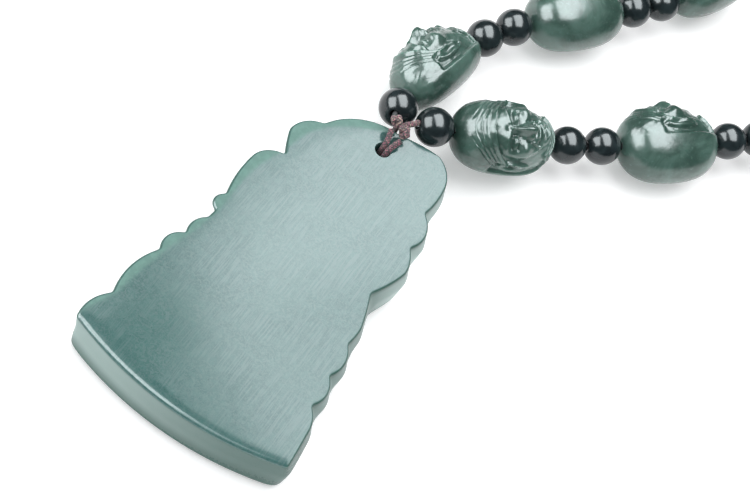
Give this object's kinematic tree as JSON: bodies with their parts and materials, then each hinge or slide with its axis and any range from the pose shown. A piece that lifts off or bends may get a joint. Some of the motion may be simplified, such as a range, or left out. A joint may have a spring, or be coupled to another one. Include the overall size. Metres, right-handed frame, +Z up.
{
  "type": "jade pendant",
  "caption": "Carved jade pendant with a polished flat back, hung by a braided cord from a necklace of carved jade heads and round black spacer beads, lying on a table.",
  "frame": {"origin": "middle of the footprint, on the table that the pendant and its necklace lie on", "axes": "+Z up out of the pendant's polished back, +Y along the pendant from its wide base to its hole and on along the necklace"},
  "size_m": [0.1444, 0.288, 0.0134],
  "materials": {
    "pale_jade": "satin polish",
    "dark_jade": "high polish",
    "black_agate": "high polish",
    "braid": "braided thread",
    "black_string": "matt thread"
  },
  "bodies": {
    "root": {"pendant": "pale_jade", "bail_cord_left": "braid", "bail_cord_right": "braid", "knot": "braid", "necklace_string": "black_string", "head_bead_01": "dark_jade", "head_bead_02": "dark_jade", "head_bead_03": "dark_jade", "head_bead_04": "dark_jade", "head_bead_05": "dark_jade", "head_bead_06": "dark_jade", "head_bead_07": "dark_jade", "head_bead_08": "dark_jade", "head_bead_09": "dark_jade", "head_bead_10": "dark_jade", "head_bead_11": "dark_jade", "head_bead_12": "dark_jade", "head_bead_13": "dark_jade", "head_bead_14": "dark_jade", "head_bead_15": "dark_jade", "head_bead_16": "dark_jade", "head_bead_17": "dark_jade", "head_bead_18": "dark_jade", "spacer_bead_01": "black_agate", "spacer_bead_02": "black_agate", "spacer_bead_03": "black_agate", "spacer_bead_04": "black_agate", "spacer_bead_05": "black_agate", "spacer_bead_06": "black_agate", "spacer_bead_07": "black_agate", "spacer_bead_08": "black_agate", "spacer_bead_09": "black_agate", "spacer_bead_10": "black_agate", "spacer_bead_11": "black_agate", "spacer_bead_12": "black_agate", "spacer_bead_13": "black_agate", "spacer_bead_14": "black_agate", "spacer_bead_15": "black_agate", "spacer_bead_16": "black_agate", "spacer_bead_17": "black_agate", "spacer_bead_18": "black_agate", "spacer_bead_19": "black_agate", "spacer_bead_20": "black_agate", "spacer_bead_21": "black_agate", "spacer_bead_22": "black_agate", "spacer_bead_23": "black_agate", "spacer_bead_24": "black_agate", "spacer_bead_25": "black_agate", "spacer_bead_26": "black_agate", "spacer_bead_27": "black_agate", "spacer_bead_28": "black_agate", "spacer_bead_29": "black_agate", "spacer_bead_30": "black_agate", "spacer_bead_31": "black_agate", "spacer_bead_32": "black_agate", "spacer_bead_33": "black_agate", "spacer_bead_34": "black_agate", "spacer_bead_35": "black_agate", "spacer_bead_36": "black_agate"}
  },
  "joints": []
}
